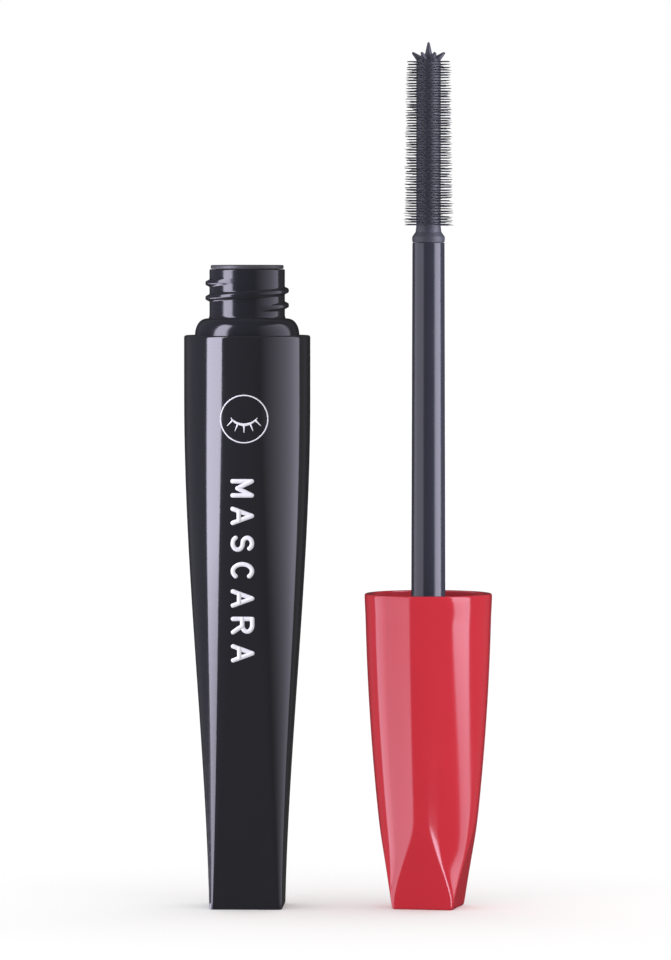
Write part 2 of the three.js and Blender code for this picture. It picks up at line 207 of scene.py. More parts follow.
BRISTLE_TIP = 0.035
BRISTLE_PITCH = 0.38  # height from one ring of bristles to the next
BRISTLES_PER_RING = 20
BRISTLE_SLIMMING = 0.3  # the highest ones are shorter by this
BRISTLE_UNEVENNESS = 0.3  # and each one by up to this
BRISTLE_SLANT = 0.04  # the most that one rises or falls, as a part of its reach
BRISTLE_SEED = 4
CROWN_SPIKES = 8
CROWN_TILT = math.radians(51)  # from straight up
CROWN_REACH = 3.2
SPIKE_ROOT = 0.75
SPIKE_TIP = 0.15

# ------------------------------------------------------------------ small maths


def mix(a, b, t):
    return a + (b - a) * t


def clamp(value):
    """The value kept between 0 and 1."""
    return min(max(value, 0.0), 1.0)


def smoothstep(t):
    t = clamp(t)
    return t * t * (3 - 2 * t)


def eased(value, ease):
    """A ramp that stays above zero: it follows `value` while that is large, and eases out below."""
    return (value + math.hypot(value, ease)) / 2


def around(radius, angle):
    """x and y of a point on a circle."""
    return radius * math.cos(angle), radius * math.sin(angle)


def spread(low, high, steps):
    """Evenly spaced values from low to high, both ends included."""
    return [mix(low, high, i / steps) for i in range(steps + 1)]


# ------------------------------------------------------------------ form of the two shells


def edge_inset(z, height):
    """How far a shell's outside is drawn in near either end, as a quarter round."""
    t = 1 - clamp(min(z, height - z) / EDGE)
    return EDGE * (1 - math.sqrt(1 - t * t))


def bottle_half_width(z):
    low, high = BOTTLE_SWELL
    return mix(BOTTLE_END, BOTTLE_RADIUS, smoothstep((z - low) / (high - low)))


def bottle_flat(z):
    """Half width of the flat part of each side."""
    return eased(BOTTLE_FLAT * (1 - z / BOTTLE_FLAT_END), BOTTLE_FLAT_EASE)


def bottle_point(z, angle):
    """A point of the bottle's outside: a ring whose quarters are moved apart to leave four flats."""
    flat = bottle_flat(z)
    corner = bottle_half_width(z) - edge_inset(z, BOTTLE_HEIGHT) - flat
    moved = []
    for value in around(corner, angle):
        apart = math.copysign(flat, value) if abs(value) > TINY else 0
        moved.append(value + apart)
    return moved


def bottle_front(x, z):
    """How far the bottle's outside stands forward of its axis, at this place of its front."""
    flat = bottle_flat(z)
    corner = bottle_half_width(z) - flat
    beside = max(abs(x) - flat, 0)
    return flat + math.sqrt(corner**2 - beside**2)


def cap_radius(z):
    low, high = CAP_SWELL
    left = 1 - eased(z - low, CAP_SWELL_EASE) / (high - low)
    flare = CAP_FLARE * smoothstep(1 - (CAP_HEIGHT - z) / CAP_FLARE_LENGTH)
    return mix(CAP_CORNER, CAP_RADIUS, 1 - left * left) + flare


def cap_flat(z):
    """Distance from the axis to a flat, which leaves the square end and runs out higher up."""
    return mix(CAP_FLAT, cap_radius(CAP_FLAT_END), (z / CAP_FLAT_END) ** CAP_FLAT_BOW)


def cap_point(z, angle):
    """A point of the cap's outside: a soft minimum of the round and the four flats."""
    nearness = cap_radius(z) ** -CAP_CRISPNESS
    for toward in around(1, angle):
        nearness += (abs(toward) / cap_flat(z)) ** CAP_CRISPNESS
    return around(nearness ** (-1 / CAP_CRISPNESS) - edge_inset(z, CAP_HEIGHT), angle)


def thread(z, angle, start, turns, width):
    """Height of a right-handed thread ridge here, from 0 on its wall to 1 along its crest.

    The ridge crosses the +X side at height `start`, and runs between the two `turns`.
    """
    first, last = turns
    part = angle / (2 * math.pi)
    turn = part + round((z - start) / PITCH - part)
    off = abs(z - start - PITCH * turn)
    slope = width / 3
    flank = smoothstep((width / 2 - off) / slope)
    return flank * smoothstep(THREAD_GROWTH * min(turn - first, last - turn))


# ------------------------------------------------------------------ mesh makers

FILLET_STEPS = 4
FILLET_SHARE = 0.45  # the most of an edge that a fillet takes up


def rounded(points, fillet):
    """The outline with every corner between its ends eased by a short curve."""
    outline = [points[0]]
    for before, corner, after in zip(points, points[1:], points[2:], strict=False):
        here = Vector(corner)
        to_before = Vector(before) - here
        to_after = Vector(after) - here
        start = here + to_before * min(fillet / to_before.length, FILLET_SHARE)
        end = here + to_after * min(fillet / to_after.length, FILLET_SHARE)
        for t in spread(0, 1, FILLET_STEPS):
            point = start * (1 - t) ** 2 + here * (2 * t * (1 - t)) + end * t**2
            outline.append(tuple(point))
    outline.append(points[-1])
    return outline


def revolve(rings, segments, closed=False):
    """Vertices and faces of a turned form.

    A ring is (reach, height). Its reach is a radius, or a function from the angle to x and y. A reach of
    0 is a point on the axis. A closed outline joins its last ring to its first.
    """
    vertices, rows, faces = [], [], []
    for reach, z in rings:
        row = []
        count = 1 if reach == 0 else segments
        for i in range(count):
            angle = 2 * math.pi * i / segments
            x, y = reach(angle) if callable(reach) else around(reach, angle)
            row.append(len(vertices))
            vertices.append((x, y, z))
        rows.append(row)
    pairs = list(zip(rows, rows[1:], strict=False))
    if closed:
        pairs.append((rows[-1], rows[0]))
    for lower, upper in pairs:
        for i in range(segments):
            corners = [
                lower[i % len(lower)],
                lower[(i + 1) % len(lower)],
                upper[(i + 1) % len(upper)],
                upper[i % len(upper)],
            ]
            faces.append(list(dict.fromkeys(corners)))
    return vertices, faces


def swept(stations):
    """Vertices and faces of a closed skin over rings of points, with its two ends filled."""
    size = len(stations[0])
    vertices = [point for ring in stations for point in ring]
    faces = [list(range(size)), list(range(len(vertices) - size, len(vertices)))]
    for s in range(len(stations) - 1):
        for k in range(size):
            a, b = s * size + k, s * size + (k + 1) % size
            faces.append([a, b, b + size, a + size])
    return vertices, faces


def merged(parts):
    """Several (vertices, faces) pairs as one."""
    vertices, faces = [], []
    for part_vertices, part_faces in parts:
        first = len(vertices)
        vertices += part_vertices
        faces += [[first + i for i in face] for face in part_faces]
    return vertices, faces


def piece(name, form, finish, body, axis, replaces=()):
    """One smooth visible piece, riding on its body in place of CAD nodes."""
    vertices, faces = form
    mesh = bpy.data.meshes.new(name)
    mesh.from_pydata([Vector(v) * MM for v in vertices], [], faces)
    shape = bmesh.new()
    shape.from_mesh(mesh)
    bmesh.ops.recalc_face_normals(shape, faces=shape.faces)
    shape.to_mesh(mesh)
    shape.free()
    mesh.shade_smooth()
    mesh.materials.append(finish)
    made = bpy.data.objects.new(name, mesh)
    bpy.context.scene.collection.objects.link(made)
    made.location.x = axis * MM
    made.visible_glossy = False
    made.modifiers.new("weighted normals", "WEIGHTED_NORMAL")
    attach(made, body)
    if replaces:
        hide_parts(*replaces)
    return made


# ------------------------------------------------------------------ materials

PLASTIC_IOR = 1.47
COAT_ROUGHNESS = 0.05
MOTTLE = 6  # how many times broader the mottle is than the grain
UNEVEN_GLOSS = 1.25  # the most that roughness is multiplied or divided by
# A Map Range node's vector sockets share their names with its number sockets, so they go by number.
VECTOR_IN, VECTOR_TO_MIN, VECTOR_TO_MAX = 6, 9, 10


def plastic(name, color, roughness, grain=900, relief=0.004, coat=0.0, tint=0.08):
    """Moulded plastic: slight mottle in its colour, uneven gloss, and a faint skin texture.

    `grain` is how many features there are to a metre, and `relief` their height in millimetres. `tint`
    is how much of the colour the mottle takes away or adds.
    """
    made = bpy.data.materials.new(name)
    made.use_nodes = True
    nodes, links = made.node_tree.nodes, made.node_tree.links
    surface = nodes["Principled BSDF"]
    surface.inputs["IOR"].default_value = PLASTIC_IOR
    surface.inputs["Coat Weight"].default_value = coat
    surface.inputs["Coat Roughness"].default_value = COAT_ROUGHNESS
    place = nodes.new("ShaderNodeTexCoord")

    broad = nodes.new("ShaderNodeTexNoise")
    broad.inputs["Scale"].default_value = grain / MOTTLE
    broad.inputs["Detail"].default_value = 3
    links.new(place.outputs["Object"], broad.inputs["Vector"])

    shades = nodes.new("ShaderNodeMapRange")
    shades.data_type = "FLOAT_VECTOR"
    shades.inputs[VECTOR_TO_MIN].default_value = [c * (1 - tint) for c in color]
    shades.inputs[VECTOR_TO_MAX].default_value = [c * (1 + tint) for c in color]
    links.new(broad.outputs["Fac"], shades.inputs[VECTOR_IN])
    links.new(shades.outputs["Vector"], surface.inputs["Base Color"])

    gloss = nodes.new("ShaderNodeMapRange")
    gloss.inputs["To Min"].default_value = roughness / UNEVEN_GLOSS
    gloss.inputs["To Max"].default_value = roughness * UNEVEN_GLOSS
    links.new(broad.outputs["Fac"], gloss.inputs["Value"])
    links.new(gloss.outputs["Result"], surface.inputs["Roughness"])

    fine = nodes.new("ShaderNodeTexNoise")
    fine.inputs["Scale"].default_value = grain
    fine.inputs["Detail"].default_value = 4
    links.new(place.outputs["Object"], fine.inputs["Vector"])

    bump = nodes.new("ShaderNodeBump")
    bump.inputs["Strength"].default_value = 1
    bump.inputs["Distance"].default_value = relief * MM
    links.new(fine.outputs["Fac"], bump.inputs["Height"])
    links.new(bump.outputs["Normal"], surface.inputs["Normal"])
    return made


gloss_black = plastic("gloss black", (0.007, 0.007, 0.009), 0.1, coat=0.3)
neck_black = plastic("neck black", (0.008, 0.008, 0.011), 0.16)
wiper_grey = plastic("wiper grey", (0.03, 0.03, 0.034), 0.42, relief=0.01)
label_white = plastic("label film", (0.78, 0.78, 0.76), 0.4, grain=3000, tint=0.03)
print_white = plastic("printed white", (0.45, 0.45, 0.46), 0.35, grain=6000, relief=0.002, tint=0.03)
gloss_red = plastic("gloss red", (0.355, 0.015, 0.024), 0.12, coat=0.3, tint=0.05)
liner_black = plastic("liner black", (0.015, 0.015, 0.017), 0.35, relief=0.01)
seal_foam = plastic("seal foam", (0.68, 0.67, 0.63), 0.75, grain=5000, relief=0.03)
stem_black = plastic("stem black", (0.014, 0.015, 0.021), 0.2)
brush_grey = plastic("brush elastomer", (0.019, 0.021, 0.029), 0.5, grain=4000, relief=0.01)

# ------------------------------------------------------------------ bottle


def shell_rings(point, height, steps):
    """The outside of a shell, from its end face up to its mouth."""
    turn_in = [EDGE * (1 - math.cos(a)) for a in spread(0, math.pi / 2, 5)]
    heights = turn_in + spread(EDGE, height - EDGE, steps)[1:-1]
    heights += [height - z for z in reversed(turn_in)]
    return [((lambda angle, z=z: point(z, angle)), z) for z in heights]


def vial_taper(z):
    """The vial's outside radius below its straight part."""
    return mix(VIAL_END_RADIUS, VIAL_RADIUS, clamp((z - VIAL_FLOOR) / (VIAL_TAPER_TOP - VIAL_FLOOR)))


def bottle_shell():
    """Outer sleeve with its label recess, its flats and its bore."""
    rim = 0.6  # width of the flat round the bore
    recess_rim = 0.2
    recess_border = 0.4  # width of the recess's floor outside its fan
    recess = [
        (LABEL_BORE - recess_border, LABEL_RECESS),
        (LABEL_BORE, LABEL_RECESS),
        (LABEL_BORE, 0),
        (LABEL_BORE + recess_rim, 0),
    ]
    bore = VIAL_RADIUS + FIT
    inside = [
        (bore + rim, BOTTLE_HEIGHT),
        (bore, BOTTLE_HEIGHT),
        (bore, VIAL_TAPER_TOP),
        (vial_taper(VIAL_BEVEL_TOP) + FIT, VIAL_BEVEL_TOP),
        (VIAL_END_RADIUS - VIAL_BEVEL + FIT, SLEEVE_FLOOR),
        (FAN, SLEEVE_FLOOR),
    ]
    rings = [(0, LABEL_RECESS), *rounded(recess, 0.08)]
    rings += shell_rings(bottle_point, BOTTLE_HEIGHT, 120)
    rings += [*rounded(inside, 0.12), (0, SLEEVE_FLOOR)]
    return revolve(rings, SHELL_SEGMENTS)


def vial():
    """Inner bottle: tapered vial, domed shoulder, and neck with its thread."""
    body = [
        (FAN, VIAL_FLOOR),
        (VIAL_END_RADIUS - VIAL_BEVEL, VIAL_FLOOR),
        (vial_taper(VIAL_BEVEL_TOP), VIAL_BEVEL_TOP),
        (VIAL_RADIUS, VIAL_TAPER_TOP),
        (VIAL_RADIUS, SNAP_HEIGHT - SNAP_RAMP),
        (VIAL_RADIUS + SNAP_BEAD, SNAP_HEIGHT),
        (VIAL_RADIUS, SNAP_HEIGHT + SNAP_RAMP),
        (VIAL_RADIUS, BOTTLE_HEIGHT - SNAP_RAMP),
    ]
    fillet_reach, fillet_height = NECK_FILLET
    dome_top = BOTTLE_HEIGHT + DOME_HEIGHT
    dome = []
    for a in spread(0, math.pi / 2, 14):
        part = math.cos(a) ** DOME_FULLNESS
        reach = mix(NECK_RADIUS + fillet_reach, VIAL_RADIUS, part)
        dome.append((reach, BOTTLE_HEIGHT + DOME_HEIGHT * math.sin(a)))
    neck = [
        ((lambda angle, z=z: neck_point(z, angle)), z)
        for z in spread(dome_top + fillet_height, NECK_TOP - NECK_EDGE - NECK_STEP, 64)
    ]
    wide, narrow = (BOTTLE_HEIGHT + over for over in DOME_INSIDE)
    inner_floor = VIAL_FLOOR + VIAL_FLOOR_THICKNESS
    inside = [
        (NECK_RADIUS, NECK_TOP - NECK_EDGE),
        (NECK_RADIUS, NECK_TOP),
        (NECK_BORE, NECK_TOP),
        (NECK_BORE, narrow),
        (VIAL_RADIUS - VIAL_WALL, wide),
        (VIAL_RADIUS - VIAL_WALL, VIAL_TAPER_TOP),
        (vial_taper(VIAL_BEVEL_TOP) - VIAL_WALL, VIAL_BEVEL_TOP + VIAL_FLOOR_THICKNESS),
        (VIAL_INNER_END, inner_floor),
        (FAN, inner_floor),
    ]
    rings = [(0, VIAL_FLOOR), *rounded(body, 0.3), *dome, *neck]
    rings += [*rounded(inside, 0.2), (0, inner_floor)]
    return revolve(rings, SEGMENTS * 2)


def neck_point(z, angle):
    """A point of the neck's outside, on its wall or on the thread."""
    ridge = thread(z, angle, THREAD_START, THREAD_TURNS, THREAD_WIDTH)
    return around(NECK_RADIUS + THREAD_HEIGHT * ridge, angle)


def wiper():
    """Flange on the neck, sleeve in its bore, and a thin cone down to the orifice."""
    top, foot = wiper_high.z, wiper_low.z
    under = top - WIPER_FLANGE_THICKNESS
    outer = NECK_BORE - FIT / 2
    cone = foot + WIPER_CONE
    slope_inside = (cone + 0.2, cone + 0.9)  # the wall is a little thicker there
    outline = [
        (WIPER_ORIFICE, foot),
        (WIPER_ORIFICE + WIPER_LIP, foot),
        (outer - WIPER_WAIST, cone),
        (outer, cone + WIPER_SLOPE),
        (outer, under),
        (WIPER_FLANGE, under),
        (WIPER_FLANGE, top),
        (WIPER_BORE, top),
        (WIPER_BORE, slope_inside[1]),
        (WIPER_BORE - WIPER_THROAT, slope_inside[0]),
        (WIPER_ORIFICE, foot),
    ]
    return revolve(rounded(outline, 0.16), SEGMENTS, closed=True)


# ------------------------------------------------------------------ applicator


def cap_body():
    """Cap shell with its flats, its mouth and the ledge that the inner cap sits on, turned on its axis."""
    rim = 0.4  # width of the flat round the mouth
    inside = [
        (CAP_MOUTH_BORE + rim, CAP_HEIGHT),
        (CAP_MOUTH_BORE, CAP_HEIGHT),
        (CAP_MOUTH_BORE, CAP_SHELF),
        (CAP_BORE, CAP_SHELF),
        (CAP_BORE, CAP_BORE_FOOT),
        (CAP_CAVITY_WAIST, CAP_CAVITY_WAIST_HEIGHT),
        (CAP_CAVITY_END, 2 * CAP_FLOOR),
        (CAP_CAVITY_END - CAP_CAVITY_BEVEL, CAP_FLOOR),
        (FAN, CAP_FLOOR),
    ]
    rings = [(0, 0), (2 * FAN, 0), *shell_rings(cap_point, CAP_HEIGHT, 90)]
    rings += [*rounded(inside, 0.16), (0, CAP_FLOOR)]
    vertices, faces = revolve(rings, SHELL_SEGMENTS)
    turn = Matrix.Rotation(APPLICATOR_TURN, 3, "Z")
    return [turn @ Vector(v) for v in vertices], faces


def liner_point(z, angle):
    """A point of the inner cap's skirt, on its wall or on the thread."""
    ridge = thread(z, angle, LINER_THREAD_START, LINER_THREAD_TURNS, LINER_THREAD_WIDTH)
    return around(LINER_THREAD_ROOT - LINER_THREAD_HEIGHT * ridge, angle)


def cap_liner():
    """Inner cap: rim, threaded skirt, gasket groove, deck and the boss that holds the stem."""
    barrel = CAP_BORE - FIT
    rim = LINER_RIM_TOP - LINER_RIM_THICKNESS
    deck_under, deck_top = LINER_DECK
    lead_width, lead_height = LINER_LEAD_IN
    lead_foot = LINER_RIM_TOP - lead_height
    lip = gasket_high.z + GASKET_PLAY
    lip_top, lip_foot = (lip + thickness for thickness in LINER_LIP_THICKNESS)
    outer = [
        (SMALL_FAN, BOSS_FLOOR),
        (BOSS_RADIUS, BOSS_FLOOR),
        (BOSS_RADIUS, deck_under),
        (barrel, deck_under),
        (barrel, rim),
        (LINER_RIM_RADIUS, rim),
        (LINER_RIM_RADIUS, LINER_RIM_TOP),
        (LINER_THREAD_ROOT + lead_width, LINER_RIM_TOP),
        (LINER_THREAD_ROOT, lead_foot),
    ]
    skirt = [
        ((lambda angle, z=z: liner_point(z, angle)), z)
        for z in spread(lead_foot - LINER_STEP, lip_foot + LINER_STEP, 50)
    ]
    groove = [
        (LINER_THREAD_ROOT, lip_foot),
        (LINER_LIP_RADIUS, lip_top),
        (LINER_LIP_RADIUS, lip),
        (GASKET_RADIUS + GASKET_PLAY, lip),
        (GASKET_RADIUS + GASKET_PLAY, deck_top),
        (SOCKET_RADIUS, deck_top),
        (SOCKET_RADIUS, SOCKET_FLOOR),
        (SMALL_FAN, SOCKET_FLOOR),
    ]
    rings = [(0, BOSS_FLOOR), *rounded(outer, 0.15), *skirt]
    rings += [*rounded(groove, 0.08), (0, SOCKET_FLOOR)]
    return revolve(rings, SEGMENTS)


def gasket():
    """Foam ring with eased edges."""
    low, high = gasket_low.z, gasket_high.z
    middle = (GASKET_BORE + GASKET_RADIUS) / 2
    outline = [
        (middle, low),
        (GASKET_RADIUS, low),
        (GASKET_RADIUS, high),
        (GASKET_BORE, high),
        (GASKET_BORE, low),
        (middle, low),
    ]
    return revolve(rounded(outline, 0.2)[:-1], SEGMENTS, closed=True)


def wand():
    """Stem: its tail in the liner's socket, a long fine taper, and a bore for the brush."""
    shoulder = LINER_DECK[1] + FIT
    bore = SHANK_RADIUS + FIT
    bore_floor = brush_low.z - SHANK_PLAY
    outline = [
        (SMALL_FAN, STEM_FOOT),
        (STEM_TAIL_RADIUS, STEM_FOOT),
        (STEM_TAIL_RADIUS, shoulder),
        (STEM_RADIUS, shoulder),
        (STEM_RADIUS, CAP_HEIGHT),
        (STEM_TIP_RADIUS, STEM_TOP),
        (bore, STEM_TOP),
        (bore, bore_floor),
        (SMALL_FAN, bore_floor),
    ]
    rings = [(0, STEM_FOOT), *rounded(outline, 0.12), (0, bore_floor)]
    return revolve(rings, SEGMENTS)


def bristle(foot, out, reach, root, tip):
    """A tapered bristle with a blunt end.

    Its line starts at `foot` on the brush's axis, and it ends `reach` from there. `root` and `tip` are
    its half thicknesses.
    """
    sides = 6
    blunting = 0.5  # what is left of its thickness at the very end
    across = out.orthogonal().normalized()
    along = out.cross(across)
    stations = []
    for t in (0, 0.5, 0.95, 1):
        centre = foot + out * mix(CORE_RADIUS / 2, reach, t)
        half = mix(root, tip, t) * (blunting if t == 1 else 1)
        ring = []
        for k in range(sides):
            x, y = around(half, 2 * math.pi * k / sides)
            ring.append(centre + across * x + along * y)
        stations.append(ring)
    return swept(stations)


def bristles():
    """Rings of bristles up the core, each ring turned half a step from the one below it."""
    foot = BRISTLES_FROM + BRISTLES_GAP
    rings = round((HEAD_HEIGHT - foot) / BRISTLE_PITCH)
    chance = random.Random(BRISTLE_SEED)
    parts = []
    for ring, z in enumerate(spread(foot, HEAD_HEIGHT, rings)):
        slimming = BRISTLE_SLIMMING * ring / rings
        for k in range(BRISTLES_PER_RING):
            angle = 2 * math.pi * (k + (ring % 2) / 2) / BRISTLES_PER_RING
            slant = chance.uniform(-BRISTLE_SLANT, BRISTLE_SLANT)
            out = Vector((*around(1, angle), slant)).normalized()
            reach = BRISTLE_REACH - slimming - chance.uniform(0, BRISTLE_UNEVENNESS)
            parts.append(bristle(Vector((0, 0, z)), out, reach, BRISTLE_ROOT, BRISTLE_TIP))
    return parts


def crown():
    """The spikes of the brush's end: one straight up, and a ring of them leaning out round it."""
    foot = Vector((0, 0, CROWN_HEIGHT))
    up = Vector((0, 0, 1))
    parts = [bristle(foot, up, brush_high.z - CROWN_HEIGHT, SPIKE_ROOT, SPIKE_TIP)]
    for k in range(CROWN_SPIKES):
        level = around(math.sin(CROWN_TILT), 2 * math.pi * (k + 0.5) / CROWN_SPIKES)
        out = Vector((*level, math.cos(CROWN_TILT)))
        parts.append(bristle(foot, out, CROWN_REACH, SPIKE_ROOT, SPIKE_TIP))
    return parts


def brush():
    """Moulded brush: shank, collar, core with a domed end, bristles and a crown of spikes."""
    seat = STEM_TOP + COLLAR_GAP
    full_from, full_to = (seat + over for over in COLLAR_BAND)
    outline = [
        (SMALL_FAN, brush_low.z),
        (SHANK_RADIUS, brush_low.z),
        (SHANK_RADIUS, seat),
        (COLLAR_RADIUS - COLLAR_BEVEL, seat),
        (COLLAR_RADIUS, full_from),
        (COLLAR_RADIUS, full_to),
        (CORE_RADIUS + CORE_FOOT, seat + COLLAR_TOP),
        (CORE_RADIUS, BRISTLES_FROM),
        (CORE_RADIUS, HEAD_HEIGHT),
    ]
    dome = []
    for a in spread(0, DOME_ANGLE, 8):
        dome.append((CORE_RADIUS * math.cos(a), HEAD_HEIGHT + HEAD_RISE * math.sin(a)))
    rings = [(0, brush_low.z), *rounded(outline, 0.1), *dome, (0, HEAD_HEIGHT + HEAD_RISE)]
    return merged([revolve(rings, SEGMENTS // 2), *bristles(), *crown()])


# ------------------------------------------------------------------ print on the bottle

PRINT_PROUD = 0.02
PRINT_DEEP = 0.03
LAYER = 0.002  # keeps strokes that cross apart
PEN = 0.62  # thickness of the letters' strokes
LETTER_WIDTH = 2.0
RING_RADIUS = 3.35
RING_PEN = 0.17
LID_RADIUS = 2.3
LID_RISE = 1.5  # the centre of the lid's curve is this far over the ring's
LID_SPAN = (215, 325)  # angles, in degrees
LID_PEN = 0.3
LASH_SPAN = (226, 314)
LASH_END = 1.5  # in lid radii
LASH_PEN = 0.28
POINT_PEN = 0.08  # thickness that the lid and the lashes end with


def on_front(x, z, proud):
    """A point on the bottle's front, standing proud of it."""
    return Vector((x, -bottle_front(x, z) - proud, z))


def line(start, end):
    """Points of a straight line."""
    return [(mix(start[0], end[0], t), mix(start[1], end[1], t)) for t in spread(0, 1, 8)]


def arc(centre, radii, start, end, steps=24):
    """Points of an ellipse from one angle to another, in degrees."""
    points = []
    for a in spread(math.radians(start), math.radians(end), steps):
        points.append((centre[0] + radii[0] * math.cos(a), centre[1] + radii[1] * math.sin(a)))
    return points


def stroke(stations, lift=0.0):
    """A printed line along the front through stations of (x, z, width)."""
    proud = PRINT_PROUD + lift
    rings = []
    for i, (x, z, width) in enumerate(stations):
        before = Vector(stations[max(i - 1, 0)][:2])
        after = Vector(stations[min(i + 1, len(stations) - 1)][:2])
        along = (after - before).normalized()
        side = Vector((-along.y, along.x)) * width / 2
        ring = []
        for sign, depth in ((1, proud), (-1, proud), (-1, -PRINT_DEEP), (1, -PRINT_DEEP)):
            ring.append(on_front(x + sign * side.x, z + sign * side.y, depth))
        rings.append(ring)
    return swept(rings)


def shaped(path, width):
    """Stations along a path. The width is a function of how far along it they are."""
    return [(x, z, width(i / (len(path) - 1))) for i, (x, z) in enumerate(path)]


def round_end(end, inner, pen):
    """Stations of a half-round end, from the end of a path outwards."""
    outward = (Vector(end) - Vector(inner)).normalized()
    stations = []
    for a in spread(0, math.radians(85), 5)[1:]:
        half, reach = around(pen / 2, a)
        x, z = Vector(end) + outward * reach
        stations.append((x, z, 2 * half))
    return stations


def penned(path, pen):
    """Stations of an even stroke along a path, with half-round ends."""
    first = round_end(path[0], path[1], pen)
    last = round_end(path[-1], path[-2], pen)
    return first[::-1] + shaped(path, lambda _: pen) + last


def emblem(height):
    """A plain ring with a closed eye and its lashes in it, round this height."""
    parts = []
    for start in (0, 180):
        half = arc((0, height), (RING_RADIUS, RING_RADIUS), start, start + 180, 48)
        parts.append(stroke(shaped(half, lambda _: RING_PEN)))
    centre = (0, height + LID_RISE)
    lid = arc(centre, (LID_RADIUS, LID_RADIUS), *LID_SPAN)
    parts.append(stroke(shaped(lid, lambda t: LID_PEN * math.sin(math.pi * t) + POINT_PEN)))
    for a in spread(*LASH_SPAN, 4):
        x, y = around(LID_RADIUS, math.radians(a))
        root = (x, centre[1] + y)
        tip = (LASH_END * x, centre[1] + LASH_END * y)
        lash = shaped(line(root, tip), lambda t: mix(LASH_PEN, POINT_PEN, t))
        parts.append(stroke(lash, LAYER))
    return merged(parts)


def capital(letter):
    """Pen paths of a plain M, A, S, C or R, in a box from 0 to 1 both ways."""
    upright = line((0, 0), (0, 1))
    if letter == "M":
        dip = (0.5, 0.25)
        return [upright, line((0, 1), dip), line(dip, (1, 1)), line((1, 1), (1, 0))]
    if letter == "A":
        peak = (0.5, 1)
        return [line((0, 0), peak), line(peak, (1, 0)), line((0.2, 0.32), (0.8, 0.32))]
    if letter == "S":
        upper = arc((0.5, 0.76), (0.4, 0.24), 25, 270)
        lower = arc((0.5, 0.26), (0.44, 0.26), 90, -155)
        return [upper + lower[1:]]
    if letter == "C":
        return [arc((0.52, 0.5), (0.5, 0.5), 45, 315)]
    bowl = arc((0.45, 0.74), (0.45, 0.26), 90, -90)
    loop = line((0, 1), (0.45, 1)) + bowl[1:] + line((0.45, 0.48), (0, 0.48))[1:]
    return [upright, loop, line((0.5, 0.48), (0.95, 0))]


def word(text, high, low, left, right):
    """A generic word in plain capitals that reads down the front, between two heights and two sides."""
    step = (high - low - LETTER_WIDTH - PEN) / (len(text) - 1)
    foot, head = left + PEN / 2, right - PEN / 2
    parts = []
    for i, letter in enumerate(text):
        top = high - PEN / 2 - i * step
        for layer, path in enumerate(capital(letter)):
            points = [(mix(foot, head, up), top - LETTER_WIDTH * across) for across, up in path]
            parts.append(stroke(penned(points, PEN), LAYER * layer))
    return merged(parts)


# ------------------------------------------------------------------ the pieces in place

name_down_the_front = word("MASCARA", high=61.5, low=35.4, left=-1.95, right=1.4)


def bottle_piece(name, form, finish, replaces=()):
    return piece(name, form, finish, "bottle", BOTTLE_AXIS, replaces)


def applicator_piece(name, form, finish, replaces, body="applicator"):
    return piece(name, form, finish, body, WAND_AXIS, replaces)


bottle_pieces = [
    bottle_piece("bottle_shell", bottle_shell(), gloss_black, ["bottle_sleeve"]),
    bottle_piece("vial_neck", vial(), neck_black, ["inner_bottle"]),
    bottle_piece("wiper_insert", wiper(), wiper_grey, ["wiper"]),
    bottle_piece("print_emblem", emblem(height=70), print_white),
    bottle_piece("print_word", name_down_the_front, print_white),
]
frame["nodes"]["base_label"].data.materials[0] = label_white

cap_pieces = [
    applicator_piece("cap_body", cap_body(), gloss_red, ["cap_shell"]),
    applicator_piece("cap_liner", cap_liner(), liner_black, ["inner_cap"]),
    applicator_piece("gasket_ring", gasket(), seal_foam, ["seal_gasket"], body="seal"),
]
wand_pieces = [
    applicator_piece("wand", wand(), stem_black, ["wand_stem"]),
    applicator_piece("brush_head", brush(), brush_grey, ["brush"]),
]

# ------------------------------------------------------------------ studio

GLOSSY_WORLD = 0.17  # how bright the surroundings are in reflections
GLOSSY_BEHIND = 0.04  # and behind the object, where grazing reflections look
BEHIND = (0.7, 0.88)  # how far +Y a direction points where that starts, and where it is full
FLOOR_SIDE = 6.0
FLOOR_GLOW = 0.08
LIGHT_DISTANCE = 0.5
LIGHT_TINT = (0.84, 0.81, 1.0)
LIGHT_EDGE = 2  # degrees over which a softbox fades in
BOWED_EDGE = 0.04  # radians over which a bowed one fades out
CAMERA_SIDE = math.radians(2.2)  # round to the right of the bottle's front
CAMERA_DISTANCE = 1.0
CAMERA_HEIGHT = 0.1
VIEW_DEPTH = 20
IMAGE_HEIGHT = 960
PIXELS_PER_METRE = 7010  # at the object
TARGET = Vector((-0.0004, 0, 0.06105))


def floor():
    """Pale floor that the shells' gloss doesn't pick up."""
    mesh = bpy.data.meshes.new("floor")
    half = FLOOR_SIDE / 2
    corners = [(-half, -half, 0), (half, -half, 0), (half, half, 0), (-half, half, 0)]
    mesh.from_pydata(corners, [], [[0, 1, 2, 3]])
    made = bpy.data.objects.new("floor", mesh)
    bpy.context.scene.collection.objects.link(made)
    finish = plastic("pale floor", (0.96, 0.96, 0.96), 0.8, grain=60, tint=0.005)
    surface = finish.node_tree.nodes["Principled BSDF"]
    surface.inputs["Specular IOR Level"].default_value = 0
    surface.inputs["Emission Color"].default_value = (1, 1, 1, 1)
    surface.inputs["Emission Strength"].default_value = FLOOR_GLOW
    mesh.materials.append(finish)
    made.visible_glossy = False


